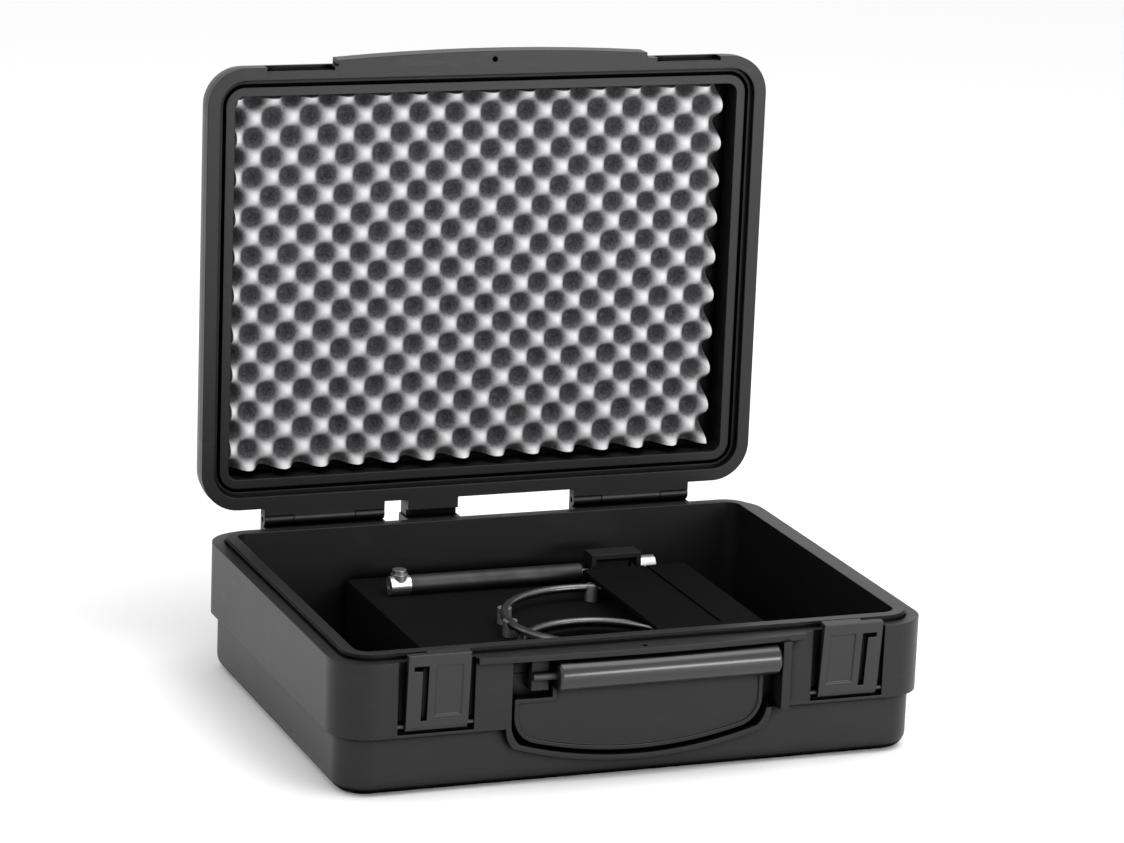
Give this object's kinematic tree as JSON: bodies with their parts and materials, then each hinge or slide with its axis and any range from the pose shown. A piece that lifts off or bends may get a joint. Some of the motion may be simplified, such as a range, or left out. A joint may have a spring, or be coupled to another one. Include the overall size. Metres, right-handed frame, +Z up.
{
  "type": "microphone case",
  "caption": "Moulded carrying case with a hinged foam-lined lid, front latches, a folding handle in a recess and a fitted insert with holder parts.",
  "frame": {"origin": "centre of the underside of the base", "axes": "+X to the right seen from the front, +Y to the hinged back, +Z up; the lid stands open"},
  "size_m": [0.42, 0.3809, 0.432],
  "materials": {
    "shell": "fine grained",
    "lining": "satin",
    "insert": "matt foam",
    "foam": "open cell",
    "moulding": "satin",
    "ring_bar": "satin",
    "bright_metal": "brushed",
    "grey_metal": "satin"
  },
  "bodies": {
    "base": {"base_shell": "shell", "base_liner": "lining", "insert_block": "insert", "insert_cover": "lining", "ring_lower": "ring_bar", "ring_upper": "ring_bar", "ring_clips": "grey_metal", "holder_bar": "grey_metal", "bar_clamp": "bright_metal", "clamp_screw": "bright_metal", "swivel_frame": "ring_bar", "swivel_screw": "bright_metal", "thread_adapter": "grey_metal", "hinge_pins": "bright_metal", "latch_pins": "bright_metal", "handle_pin_left": "bright_metal", "handle_pin_right": "bright_metal"},
    "lid": {"lid_shell": "shell", "lid_liner": "lining", "lid_foam": "foam"},
    "left_latch": {"latch_left": "moulding"},
    "right_latch": {"latch_right": "moulding"},
    "carry_handle": {"handle": "moulding"}
  },
  "joints": [
    {"name": "lid_hinge", "type": "hinge", "parent": "base", "child": "lid", "pos_m": [0, 0.168, 0.097], "axis": [1, 0, 0], "range_deg": [0, 90]},
    {"name": "left_latch_pivot", "type": "hinge", "parent": "base", "child": "left_latch", "pos_m": [-0.1432, -0.1566, 0.048], "axis": [1, 0, 0], "range_deg": [-4, 90]},
    {"name": "right_latch_pivot", "type": "hinge", "parent": "base", "child": "right_latch", "pos_m": [0.1485, -0.1566, 0.048], "axis": [1, 0, 0], "range_deg": [-6, 90]},
    {"name": "handle_pivot", "type": "hinge", "parent": "base", "child": "carry_handle", "pos_m": [0, -0.161, 0.076], "axis": [-1, 0, 0], "range_deg": [0, 92]}
  ]
}
